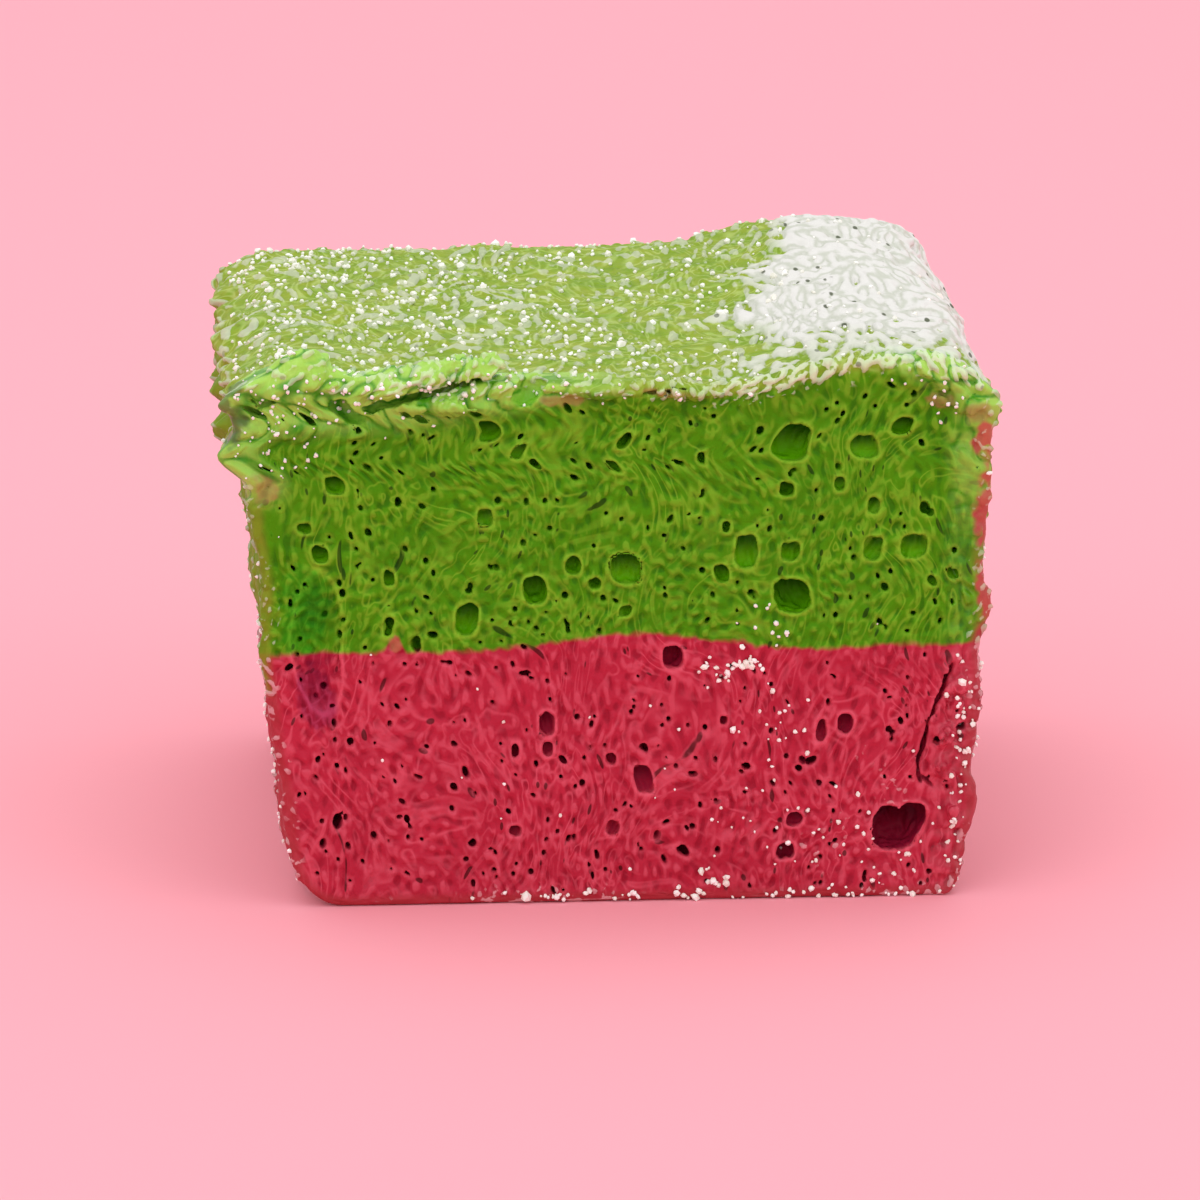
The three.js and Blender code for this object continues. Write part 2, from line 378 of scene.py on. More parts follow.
def fine_bubbles(count):
    """Random small bubbles on the cut face, as the rows of the lists above with a turn added."""
    draw = np.random.default_rng(11)
    x = draw.uniform(-WIDTH / 2 + SIDE_MARGIN, WIDTH / 2 - SIDE_MARGIN, count)
    z = draw.uniform(FOOT_MARGIN, HEIGHT - TOP_MARGIN, count)
    size = FINE_SIZE + SIZE_SPREAD * draw.exponential(1.0, count).clip(0, MOST_SPREADS)
    long = size * draw.uniform(1, LONGEST, count)
    deep = draw.uniform(SHALLOWEST, DEEPEST, count) + size
    turn = flow_angle(x, z) + draw.normal(0, TURN_SPREAD, count)
    return np.stack([x, z, long, size, deep, turn], axis=1)


large = np.array([(*row, 0) for row in GREEN_BUBBLES + RED_BUBBLES] + TEARS, dtype=float)
LARGE_COUNT = len(large)
ROUND_COUNT = LARGE_COUNT - len(TEARS)
fine = fine_bubbles(FINE_BUBBLES)
gap = np.hypot(*(fine[:, None, :2] - large[None, :ROUND_COUNT, :2]).transpose(2, 0, 1))
apart = np.all(gap > large[:ROUND_COUNT, 2:4].max(1) / 2 + WALL, axis=1)
bubbles = np.concatenate([large, fine[apart]])


def lean_at(x, z):
    """The slope that the block's form gives to a level line on the cut face."""
    front = np.full(len(x), FRONT)
    left, right = (shaped(np.stack([x + way, front, z], axis=1)) for way in (-0.5, 0.5))
    step = right - left
    return step[:, 2] / step[:, 0]


bubbles = np.column_stack([bubbles, lean_at(bubbles[:, 0], bubbles[:, 1])])
print("bubbles:", len(bubbles), "of them large:", LARGE_COUNT)

# %% [markdown]
# ## The foam as a field
# Open bubbles, a torn lip and crumpled skin are hard to model face by face. Here the block is a field
# instead: a grid of numbers that says how far each point lies outside the foam. Lumps are added and
# bubbles taken away with a minimum or a maximum, and the surface is then drawn where the field is
# zero. The grid is finest behind the cut face, where the bubbles are.

# %% The grid
STEP = 0.11
MARGIN = 2.0
CUT_ZONE = 3.2
xs = np.arange(-WIDTH / 2 - MARGIN, WIDTH / 2 + MARGIN, STEP, dtype=np.float32)
zs = np.arange(-MARGIN, HEIGHT + MARGIN, STEP, dtype=np.float32)
ys = np.concatenate([
    np.arange(FRONT - MARGIN, FRONT + CUT_ZONE, STEP, dtype=np.float32),
    np.arange(FRONT + CUT_ZONE, DEPTH / 2 + MARGIN, 1.5 * STEP, dtype=np.float32),
])
print("grid:", len(xs), len(ys), len(zs))

# %% [markdown]
# The cut face is nearly flat, with faint ridges where bubble walls were cut. The skin is lumpy: it
# wrinkled as the block dried. Both are noise that is added to the field, strongest on the sides,
# weaker on the top and missing on the base, which lies flat.

# %% Fill the field
SIDE_WRINKLES, TOP_WRINKLES, GRAININESS, CUT_RIDGES = 0.3, 0.1, 0.05, 0.05
ROUND_CUT = 0.35


def crumpled_at(x, z):
    """1 where the cut face is crumpled: its top corners, upper left edge and right edge."""
    left_corner = smooth_step(z, 20.5, 22.5) * (1 - smooth_step(x, -17.8, -16.4))
    top_left = smooth_step(z - 0.15 * x, 26.2, 27.8) * (1 - smooth_step(x, -6, 3))
    right_corner = smooth_step(z + 0.5 * x, 33.5, 35)
    edge_strip = smooth_step(x, 16.2, 17.4) * (1 - 0.4 * smooth_step(z, 11, 14))
    return np.maximum(np.maximum(left_corner, top_left), np.maximum(right_corner, edge_strip))


grid_x, grid_y, grid_z = xs[:, None, None], ys[None, :, None], zs[None, None, :]
field = skin_distance(grid_x, grid_y, grid_z).astype(np.float32)
billows = np.abs(Lattice(1, 1.8).on_grid(xs, ys, zs)) - 0.3
billows += 0.5 * np.abs(Lattice(2, 0.75).on_grid(xs, ys, zs)) - 0.15
grainy = GRAININESS * Lattice(3, 0.36).on_grid(xs, ys, zs)
standing = smooth_step(grid_z, 0.2, 1.5)
on_top = smooth_step(grid_z, HEIGHT - 2.5, HEIGHT - 0.8)
field -= (mix(SIDE_WRINKLES, TOP_WRINKLES, on_top) * billows + grainy) * standing
cut_plane = (FRONT - grid_y) + CUT_RIDGES * Lattice(4, 1.3).on_grid(xs, ys, zs)
folds = Lattice(5, 0.8)
crumple = 0.35 * billows + 0.5 * np.abs(folds.on_grid(xs, ys, zs)) - 0.1
cut_plane -= crumpled_at(grid_x, grid_z) * crumple
del billows, grainy
near_edge = np.hypot(np.maximum(ROUND_CUT + field, 0), np.maximum(ROUND_CUT + cut_plane, 0))
field = np.minimum(-ROUND_CUT, np.maximum(field, cut_plane)) + near_edge
del near_edge, cut_plane
print("field between", round(float(field.min()), 2), "and", round(float(field.max()), 2))

# %% [markdown]
# Lumps of torn skin stick out along the edges of the cut face: a bead under the tear, the crumpled
# corners and a flap beside the crease at the right, all with the folds of the skin in them. Then each
# bubble is carved, the larger ones with a thin raised rim. A large bubble is squarer than an egg,
# because its neighbours pressed on it.

# %% The lumps
# Middle on the cut face, width, height and how far out in mm, and a turn in degrees
LUMPS = [
    (-10, 27.6, 8, 1.4, 0.6, 10), (-8, 26.4, 5, 1, 0.55, -4), (-15.4, 26.9, 3.6, 2.8, 0.6, 0),
    (-15.8, 24.8, 2.8, 1.6, 0.5, -8), (-17.2, 22.8, 1.4, 2.6, 0.4, 0),
    (-12.6, 24.9, 1.4, 0.8, 0.3, 30), (-1, 27.1, 4.4, 0.9, 0.4, 0), (3.8, 27.2, 2.4, 0.5, 0.35, 0),
    (16, 27, 2.4, 1.8, 0.45, -25), (17.4, 25.8, 2, 1, 0.5, 10), (15.3, 26, 0.6, 0.6, 0.4, 0),
    (15.9, 25.7, 0.8, 0.6, 0.35, 0), (17.2, 25.3, 0.8, 0.6, 0.4, 20),
    (17.7, 11, 0.9, 2.2, 0.45, -6), (17.2, 8.7, 1.3, 1.5, 0.6, 0), (17.1, 6.9, 1.2, 1.2, 0.6, 0),
    (17.5, 4.6, 0.9, 1.8, 0.45, 8),
]
print("lumps:", len(LUMPS))

# %% Add the lumps and carve the bubbles
LUMP_FOLDS, LUMP_BLEND = 0.6, 0.2
SQUARE = 2.7
RIM_HEIGHT, RIM_REACH = 0.1, 0.16


def box_around(middle, reach):
    """The part of the grid within reach of a place, as slices."""
    ends = (np.searchsorted(axis, (at - reach, at + reach)) for axis, at in zip((xs, ys, zs), middle))
    return tuple(slice(max(start - 1, 0), stop + 1) for start, stop in ends)


def turned(along, up, turn, lean):
    """Offsets on the cut face as seen from an egg that is turned, without the lean of the block."""
    cos, sin = math.cos(math.radians(turn)), math.sin(math.radians(turn))
    up = up + lean * along
    return along * cos + up * sin, up * cos - along * sin


def egg_distance(box, middle, halves, turn, lean=0.0, power=2.0):
    """How far a box's grid points are outside an egg, in mm, negative inside."""
    along = xs[box[0], None, None] - middle[0]
    deep = ys[None, box[1], None] - middle[1]
    up = zs[None, None, box[2]] - middle[2]
    along, up = turned(along, up, turn, lean)
    parts = (along / halves[0], deep / halves[1], up / halves[2])
    return (sum(np.abs(part) ** power for part in parts) ** (1 / power) - 1) * min(halves)


for x, z, wide, high, out, turn in LUMPS:
    middle = (x, FRONT + out, z)
    halves = (wide / 2, 2 * out, high / 2)
    box = box_around(middle, max(halves) + 0.3)
    distance = egg_distance(box, middle, halves, turn) - LUMP_FOLDS * crumple[box]
    share = np.clip(0.5 + 0.5 * (field[box] - distance) / LUMP_BLEND, 0, 1)
    field[box] = mix(field[box], distance, share) - LUMP_BLEND * share * (1 - share)

del crumple
for number, (x, z, wide, high, deep, turn, lean) in enumerate(bubbles):
    middle = (x, FRONT + 0.25 * deep, z)
    halves = (wide / 2, 0.75 * deep, high / 2)
    box = box_around(middle, max(halves) + 0.4)
    round_one = number < ROUND_COUNT
    distance = egg_distance(box, middle, halves, turn, lean, SQUARE if round_one else 2.0)
    if round_one:
        field[box] -= RIM_HEIGHT * hump(distance, 0, RIM_REACH)
    field[box] = np.maximum(field[box], -distance)
print("carved", len(bubbles), "bubbles and added", len(LUMPS), "lumps")

# %% [markdown]
# ## From field to mesh
# Surface nets put one vertex into every grid cell that the surface passes through, at the middle of
# the places where it crosses the cell's edges, and join the cells around each crossed edge by a quad.
# The result is closed, smooth and even.

# %% Surface nets
def surface_nets(values, axes):
    """Vertices and quads of the surface where the values change sign, facing the positive side."""
    inside = values < 0
    shape = [count - 1 for count in values.shape]
    corners = sum(
        inside[i:i + shape[0], j:j + shape[1], k:k + shape[2]].astype(np.uint8)
        for i, j, k in itertools.product((0, 1), repeat=3)
    )
    cells = np.argwhere((corners > 0) & (corners < 8)).astype(np.int32)
    number = np.full(shape, -1, dtype=np.int32)
    number[tuple(cells.T)] = np.arange(len(cells))
    total = np.zeros((len(cells), 3))
    count = np.zeros(len(cells))
    for axis, first, second in itertools.product(range(3), (0, 1), (0, 1)):
        start = np.insert([first, second], axis, 0)
        stop = np.insert([first, second], axis, 1)
        a = values[tuple((cells + start).T)]
        b = values[tuple((cells + stop).T)]
        crossed = (a < 0) != (b < 0)
        share = np.where(crossed, a / np.where(crossed, a - b, 1), 0)
        place = cells + start + share[:, None] * (stop - start)
        total += np.where(crossed[:, None], place, 0)
        count += crossed
    places = (total / count[:, None]).T
    points = [np.interp(place, np.arange(len(axis)), axis) for place, axis in zip(places, axes)]
    quads = []
    unit = np.eye(3, dtype=np.int32)
    for axis in range(3):
        ahead = np.take(inside, range(1, inside.shape[axis]), axis)
        here = np.take(inside, range(inside.shape[axis] - 1), axis)
        edges = np.argwhere(ahead != here).astype(np.int32)
        outward = here[tuple(edges.T)]
        one, two = unit[(axis + 1) % 3], unit[(axis + 2) % 3]
        around = [edges, edges - one, edges - one - two, edges - two]
        quad = np.stack([number[tuple(cell.T)] for cell in around], axis=1)
        quads.append(np.where(outward[:, None], quad, quad[:, ::-1]))
    return np.stack(points, axis=1), np.concatenate(quads)


points, quads = surface_nets(field, (xs, ys, zs))
del field
print("surface:", len(points), "points,", len(quads), "quads")

# %% [markdown]
# ## Fine relief
# The powder stands up in ridges on the skin, and the cut strands of foam make a finer, upright weave
# on the cut face. Both are added to the surface points as a height along the normal. The thicker the
# powder lies, the lower the level of the maze that it covers: thin powder keeps to the crests and
# thick powder leaves only narrow lines free.

# %% Powder and weave at a point
RIDGE_HEIGHT, THICK_RIDGES, WEAVE_HEIGHT = 0.15, 0.05, 0.035
PATCH_FRONT, PATCH_SLANT, PATCH_FRAY, PATCH_FOOT = 5.6, 7.9, 2.2, 3.2
TOP_POWDER, SIDE_POWDER, TORN_POWDER = 0.33, 0.16, 0.28


def powder_at(points, distance):
    """How thickly the powder lies, from 0 to 1."""
    x, y, z = points.T
    upward = smooth_step(z, HEIGHT - 2.6, HEIGHT - 0.6)
    edge = PATCH_FRONT + PATCH_SLANT * (y / DEPTH + 0.5) + PATCH_FRAY * Lattice(21, 4.0).at(points)
    low_edge = HEIGHT - PATCH_FOOT + PATCH_FRAY * Lattice(24, 2.6).at(points)
    patch = smooth_step(x, edge - 4.5, edge + 2) * smooth_step(z, low_edge - 2, low_edge + 2)
    to_front = 1 - smooth_step(y - FRONT + 2 * Lattice(26, 3.0).at(points), 1, 11)
    patch *= 1 - 0.42 * to_front
    thin = TOP_POWDER + 0.2 * Lattice(22, 5.0).at(points)
    sides = SIDE_POWDER + 0.3 * Lattice(23, 2.4).at(points)
    skin = np.maximum(mix(sides, thin, upward), patch)
    skin *= smooth_step(distance + 0.4 * Lattice(25, 1.6).at(points), -1.3, -0.2)
    torn = TORN_POWDER * crumpled_at(x, z) * smooth_step(z, 20, 23.5)
    torn *= 1 - smooth_step(y, 0, FRONT + 1.5)
    return np.clip(np.maximum(skin, torn), 0, 1)


def bare_level(powder):
    """The level of the maze above which powder covers the skin."""
    return 1.5 - 3.1 * powder - powder**4


def ridges_at(points):
    """The maze that powder collects in. It runs from front to back and is finer along the cut."""
    drawn_out = points * (1, 0.4, 1)
    near_cut = 1 - smooth_step(points[:, 1] - FRONT, 0.6, 2.5)
    return mix(powder_maze.at(drawn_out), foam_maze.at(drawn_out), near_cut)


def weave_at(points):
    """The weave of cut strands, drawn out upwards."""
    return foam_maze.at(points * (1, 1, 0.6))


def on_cut_at(points, distance):
    """1 on the cut face and inside its bubbles, 0 on the skin."""
    behind = points[:, 1] - FRONT
    return smooth_step(-distance, 0.3, 0.8) * (1 - smooth_step(behind, 3.5, 4.5))


def relief_at(points):
    """The height in mm of the powder and of the weave."""
    distance = skin_distance(*points.T)
    powder = powder_at(points, distance)
    maze = ridges_at(points)
    ridges = RIDGE_HEIGHT * smooth_step(maze - bare_level(powder), -0.3, 0.9)
    ridges *= smooth_step(powder, 0.03, 0.2)
    ridges += THICK_RIDGES * maze * smooth_step(powder, 0.6, 1)
    weave = WEAVE_HEIGHT * weave_at(points) * on_cut_at(points, distance)
    off_base = smooth_step(points[:, 2], 0.15, 0.9)
    return (ridges + weave) * off_base


print("powder ridges", round(powder_maze.cell * Maze.CELLS_A_WAVE, 2), "mm apart")

# %% [markdown]
# ## Thinning and parting
# The net has as many quads on the plain base as between the bubbles. A Decimate modifier merges faces
# where the surface is flat and keeps them where it isn't. Then the mesh is cut in two along the
# surface between the layers, which is still a plane here, and each half is closed as a solid.

# %% Make the whole block's mesh and thin it
MOST_TRIANGLES = 620000


def mesh_of(name, points, faces):
    mesh = bpy.data.meshes.new(name)
    mesh.from_pydata(points.tolist(), [], faces.tolist())
    mesh.update()
    return mesh


def raise_relief(mesh):
    """Moves each point out along its normal by the fine relief there."""
    points = np.empty((len(mesh.vertices), 3), dtype=np.float32)
    normals = np.empty_like(points)
    mesh.vertices.foreach_get("co", points.ravel())
    mesh.vertex_normals.foreach_get("vector", normals.ravel())
    height = relief_at(points)
    mesh.vertices.foreach_set("co", (points + height[:, None] * normals).ravel())
    mesh.update()
    print("relief from", round(float(height.min()), 3), "to", round(float(height.max()), 3), "mm")


whole = put("whole_block", mesh_of("whole_block", points, quads))
raise_relief(whole.data)
thin = whole.modifiers.new("thin", "DECIMATE")
thin.ratio = min(1, MOST_TRIANGLES / (2 * len(quads)))
thin.use_collapse_triangulate = True
with_thin = whole.evaluated_get(bpy.context.evaluated_depsgraph_get())
thinned = bpy.data.meshes.new_from_object(with_thin)
bpy.data.objects.remove(whole)
print("thinned to", len(thinned.polygons), "faces")


# %% Part the layers
def layer_mesh(name, source, side):
    """One layer, closed at the plane between the layers: side 1 is the upper one."""
    work = bmesh.new()
    work.from_mesh(source)
    cut = bmesh.ops.bisect_plane(
        work, geom=work.verts[:] + work.edges[:] + work.faces[:], dist=1e-4,
        plane_co=(0, 0, RED_HEIGHT), plane_no=(0, 0, side), clear_inner=True,
    )
    rim = [item for item in cut["geom_cut"] if isinstance(item, bmesh.types.BMEdge)]
    for edge in rim:
        edge.smooth = False
    bmesh.ops.triangle_fill(work, use_beauty=True, use_dissolve=False, edges=rim)
    bmesh.ops.recalc_face_normals(work, faces=work.faces[:])
    mesh = bpy.data.meshes.new(name)
    work.to_mesh(mesh)
    open_edges = sum(1 for edge in work.edges if len(edge.link_faces) != 2)
    work.free()
    print(name, len(mesh.polygons), "faces,", open_edges, "edges without two faces")
    return mesh


sides = {"green_foam": 1, "red_foam": -1}
layers = {name: layer_mesh(name + "_fine", thinned, side) for name, side in sides.items()}

# %% [markdown]
# ## What each point knows about itself
# The finish changes with the place: how deep in a bubble, how far above the red layer, on the cut
# face or on the skin, and how much powder lies there. These are worked out once for each vertex, from
# its place in the plain box, and stored as attributes that the materials read.

# %% Marks, rims and hollows at a point
# Small marks on the cut face: place, half width and half height in mm
MARKS = {
    "brown": [
        (-2.2, 26.6, 1.1, 0.4), (2.6, 27.2, 1.2, 0.25), (15.9, 25.7, 0.8, 0.5), (17.8, 25.3, 0.8, 0.6),
        (-5.2, 27.9, 0.3, 0.3), (-11.8, 14, 0.4, 0.5), (-18, 21.8, 0.7, 0.9),
    ],
    "smear": [(18.8, 20.6, 0.9, 2.6), (18.9, 16.2, 0.8, 1.8), (18.4, 24, 0.7, 0.9)],
    # Painted shade on the outer flap over the left side.
    "dull": [(-19.2, 26.4, 1.5, 2.6)],
    "wet": [(-16.6, 15.6, 1.3, 2.4), (-16.3, 11.2, 1.1, 1.9)],
}
RIM_PLACE, RIM_WIDTH = 0.07, 0.08


def marks_at(points, marks):
    """1 in the middle of a mark on the cut face, 0 away from all of them."""
    x, y, z = points.T
    near = [hump(x, mark_x, wide) * hump(z, mark_z, high) for mark_x, mark_z, wide, high in marks]
    return np.max(near, axis=0) * (1 - smooth_step(y, FRONT + 1.5, FRONT + 3))


def rims_at(points):
    """How close each point is to a bubble's rim, and how far down it lies inside a large bubble."""
    rim, down = np.zeros(len(points)), np.full(len(points), 0.4)
    front = np.flatnonzero(points[:, 1] < FRONT + CUT_ZONE)
    x, y, z = points[front].T
    surface = 1 - smooth_step(y, FRONT + 0.1, FRONT + 0.45)
    for number, (middle_x, middle_z, wide, high, _, turn, lean) in enumerate(bubbles):
        near = np.flatnonzero(np.hypot(x - middle_x, z - middle_z) < max(wide, high) / 2 + 0.4)
        along, up = turned(x[near] - middle_x, z[near] - middle_z, turn, lean)
        power = SQUARE if number < ROUND_COUNT else 2.0
        reach = (np.abs(2 * along / wide) ** power + np.abs(2 * up / high) ** power) ** (1 / power)
        ring = hump((reach - 1) * min(wide, high) / 2, RIM_PLACE, RIM_WIDTH) * min(1, 0.3 + 0.9 * high)
        rim[front[near]] = np.maximum(rim[front[near]], ring * surface[near])
        if number < LARGE_COUNT:
            inner = near[reach < 1.05]
            down[front[inner]] = 0.5 - up[reach < 1.05] / high
    return rim, down


print("marks:", {name: len(marks) for name, marks in MARKS.items()})

# %% Store the attributes and move the points to their places
# A spike of red foam that stands up into the green
SPIKE_PLACE, SPIKE_WIDTH, SPIKE_HEIGHT = -11.8, 0.4, 0.9


def known_at(points):
    """What the materials read at each point, by name."""
    x, y, z = points.T
    distance = skin_distance(x, y, z)
    rim, down = rims_at(points)
    powder, ridges = powder_at(points, distance), ridges_at(points)
    return {
        "cut_face": on_cut_at(points, distance),
        "hollow": np.minimum(np.maximum(-distance, 0), np.maximum(y - FRONT, 0)),
        "rim": rim,
        "down": down,
        "weave": weave_at(points),
        "over_layer": z - RED_HEIGHT - SPIKE_HEIGHT * hump(x, SPIKE_PLACE, SPIKE_WIDTH),
        "powder": powder,
        "ridges": ridges,
        "over_bare": ridges - bare_level(powder),
        "fold": np.abs(folds.at(points)),
        "facing": 1 - smooth_step(y, FRONT + 0.1, FRONT + 0.9),
        "crumpled": crumpled_at(x, z) * (y < FRONT + 2),
        **{name: marks_at(points, marks) for name, marks in MARKS.items()},
    }


def finish_points(mesh):
    """Stores the attributes, moves the points, and returns the new places in metres."""
    flat = np.empty(3 * len(mesh.vertices), dtype=np.float32)
    mesh.vertices.foreach_get("co", flat)
    points = flat.reshape(-1, 3).astype(float)
    for name, values in known_at(points).items():
        attribute = mesh.attributes.new(name, "FLOAT", "POINT")
        attribute.data.foreach_set("value", values.astype(np.float32))
    new = shaped(points) * MM
    mesh.vertices.foreach_set("co", new.astype(np.float32).ravel())
    mesh.update()
    return new


for name, mesh in layers.items():
    moved = finish_points(mesh)
    print(name, "from", (moved.min(0) / MM).round(2), "to", (moved.max(0) / MM).round(2))

# %% [markdown]
# ## Shared effects
# Both layers have the same pores, the same powder and the same soft border between them. So these
# effects are node groups, built once and placed in each material.

# %% A helper for node groups
class Graph:
    """Adds nodes to a tree and links them in one call."""

    def __init__(self, tree):
        self.tree = tree

    def feed(self, node, **inputs):
        """Links or sets a node's inputs. A name such as i0 stands for an input's number."""
        for key, value in inputs.items():
            by_number = key[0] == "i" and key[1:].isdigit()
            socket = node.inputs[int(key[1:]) if by_number else key]
            if isinstance(value, bpy.types.NodeSocket):
                self.tree.links.new(value, socket)
            else:
                socket.default_value = value
        return node

    def add(self, kind, settings=None, **inputs):
        node = self.tree.nodes.new(kind)
        for key, value in (settings or {}).items():
            setattr(node, key, value)
        return self.feed(node, **inputs)

    def math(self, operation, a, b=0.0):
        return self.add("ShaderNodeMath", {"operation": operation}, i0=a, i1=b).outputs[0]

    def vector(self, operation, **inputs):
        return self.add("ShaderNodeVectorMath", {"operation": operation}, **inputs).outputs[0]

    def ramp(self, value, low, high, to_low=0.0, to_high=1.0):
        """Maps low to to_low and high to to_high, with a soft start and end."""
        ends = {"i1": low, "i2": high, "i3": to_low, "i4": to_high}
        soft = {"interpolation_type": "SMOOTHSTEP"}
        return self.add("ShaderNodeMapRange", soft, i0=value, **ends).outputs[0]

    def blend(self, share, a, b, how="MIX"):
        settings = {"data_type": "RGBA", "blend_type": how}
        return self.add("ShaderNodeMix", settings, i0=share, i6=a, i7=b).outputs[2]

    def place_mm(self):
        """The place on the object, in mm."""
        place = self.add("ShaderNodeTexCoord").outputs["Object"]
        return self.vector("SCALE", Vector=place, Scale=1 / MM)

    def noise(self, place, per_mm, detail=1.0, rough=0.5):
        node = self.add("ShaderNodeTexNoise", Vector=place, Scale=per_mm, Detail=detail, Roughness=rough)
        return node.outputs["Fac"]

    def wander(self, place, per_mm, reach):
        """Noise around 0, for an edge that wanders."""
        return self.math("MULTIPLY", self.math("SUBTRACT", self.noise(place, per_mm), 0.5), reach)

    def spots(self, place, per_mm, reach, core):
        """1 within the core of some points strewn at random, 0 beyond their reach."""
        cells = self.add("ShaderNodeTexVoronoi", Vector=place, Scale=per_mm)
        return self.ramp(cells.outputs["Distance"], reach, core)


print("graph helpers:", [name for name in vars(Graph) if not name.startswith("_")])


# %% Helpers for groups, materials and colours
def new_group(name, inputs, outputs):
    """An empty node group with named sockets, and its graph, input node and output node."""
    group = bpy.data.node_groups.new(name, "ShaderNodeTree")
    for kind, in_out in ((inputs, "INPUT"), (outputs, "OUTPUT")):
        for socket_name, socket_type in kind.items():
            group.interface.new_socket(socket_name, in_out=in_out, socket_type=socket_type)
    graph = Graph(group)
    return group, graph, group.nodes.new("NodeGroupInput"), group.nodes.new("NodeGroupOutput")


def new_material(name):
    """A material with its graph and its Principled BSDF."""
    material = bpy.data.materials.new(name)
    material.use_nodes = True
    return material, Graph(material.node_tree), material.node_tree.nodes["Principled BSDF"]


def srgb(red, green, blue):
    """A colour as read from a picture, 0 to 255, as the linear values that a shader takes."""
    values = [value / 255 for value in (red, green, blue)]
    return (*[v / 12.92 if v <= 0.04045 else ((v + 0.055) / 1.055) ** 2.4 for v in values], 1)


print("middle grey for a shader:", round(srgb(128, 128, 128)[0], 3))

# %% [markdown]
# The first group is the foam itself. Its colour is painted darker in the hollows and in the grooves of
# the weave as shade, lighter on the crests of the weave, and palest on the thin walls between bubbles,
# which show as a web of fine lines whose pale is partly a painted sheen. Light from above reaches the
# lower side of a bubble, so its lower side is painted lighter and its upper side darker.

# %% The foam group
COLOUR, VALUE, PLACE = "NodeSocketColor", "NodeSocketFloat", "NodeSocketVector"
FLOW_SCALE, FLOW_REACH, FLOW_STRETCH = 0.2, 7.0, (1, 0.45, 0.45)
FIBRES_PER_MM, FIBRE_LEVELS, FIBRE_WIDTH = 1.1, 4.5, 0.28
PITS_PER_MM, PIT_REACH, PIT_CORE = 1.1, 0.17, 0.12
PIT_SHADE = (0.18, 0.22, 0.16, 1)
KINDS = ("", " deep", " pale", " inside", " floor")

FOAM_READS = ("Over layer", "Hollow", "Down", "Rim", "Weave")
foam_inputs = {"Place mm": PLACE} | {name: VALUE for name in FOAM_READS}
foam_inputs |= {name + kind: COLOUR for name in ("Green", "Red") for kind in KINDS}
foam_group, g, inner, outer = new_group("foam", foam_inputs, {"Colour": COLOUR, "Lines": VALUE})
place = inner.outputs["Place mm"]
drift = g.add("ShaderNodeTexNoise", Vector=place, Scale=FLOW_SCALE, Detail=0.0).outputs["Color"]
flowing = g.vector("ADD", i0=place, i1=g.vector("SCALE", Vector=drift, Scale=FLOW_REACH))
stretched = g.vector("MULTIPLY", i0=flowing, i1=FLOW_STRETCH)
# The fibres that follow the flow are several contour lines of one noise. On the cut face their pale
# stands in for sheen, a painted highlight
level = g.math("MULTIPLY", g.noise(stretched, FIBRES_PER_MM), FIBRE_LEVELS)
off_line = g.math("ABSOLUTE", g.math("SUBTRACT", g.math("FRACT", level), 0.5))
fibre = g.ramp(off_line, FIBRE_WIDTH, 0.0)
cloud = g.noise(place, 0.35, 2, 0.6)
pit = g.spots(stretched, PITS_PER_MM, PIT_REACH, PIT_CORE)
above = g.math("ADD", inner.outputs["Over layer"], g.wander(place, 1.4, 0.5))
green_share = g.ramp(above, -0.16, 0.2)
# Painted shade: the deeper a point lies in a hollow, the more it takes the hollow's colours.
hollow_shade_share = g.ramp(inner.outputs["Hollow"], 0.12, 0.5)
# Painted shade in the grooves of the weave, and painted light on its crests.
painted_groove_shade = g.math("MULTIPLY", g.ramp(inner.outputs["Weave"], 0.0, -1.5), 0.65)
painted_crest_light = g.math("MULTIPLY", g.ramp(inner.outputs["Weave"], 0.3, 1.6), 0.5)
fibre_share = g.math("MULTIPLY", fibre, g.ramp(cloud, 0.6, 0.4, 0.25, 0.55))
painted_sheen_share = g.math("MAXIMUM", fibre_share, painted_crest_light)


def shaded(name):
    """One foam's colour, from the group's inputs whose names start with its own."""
    base, deep, pale, inside, floor = (inner.outputs[name + kind] for kind in KINDS)
    body = g.blend(g.math("MAXIMUM", g.ramp(cloud, 0.35, 0.7, 0.0, 0.25), painted_groove_shade), base, deep)
    body = g.blend(painted_sheen_share, body, pale)
    body = g.blend(g.math("MULTIPLY", pit, 0.9), body, PIT_SHADE, "MULTIPLY")
    # Painted shade and light: a large bubble's upper side takes the dark inside colour, its lower side
    # the brighter floor colour.
    hollow = g.blend(g.ramp(inner.outputs["Down"], 0.1, 0.9), inside, floor)
    body = g.blend(hollow_shade_share, body, hollow)
    return g.blend(g.math("MULTIPLY", inner.outputs["Rim"], 0.85), body, pale)


g.feed(outer, Colour=g.blend(green_share, shaded("Red"), shaded("Green")), Lines=fibre)
print("foam group:", len(foam_group.nodes), "nodes")

# %% [markdown]
# The second group is the powder. It covers what stands above the bare level of the maze, with a
# ragged edge. Thin powder has drawn moisture and lets the skin show through, thick powder is opaque
# with grooves painted grey as shade, and pinholes go through it, painted dark as shade.

# %% The powder group
DRAWN_OUT = (1, 0.45, 1)
HOLES_PER_MM, HOLE_REACH, HOLE_CORE = 0.9, 0.16, 0.1
GROOVE_LEVEL = -0.6

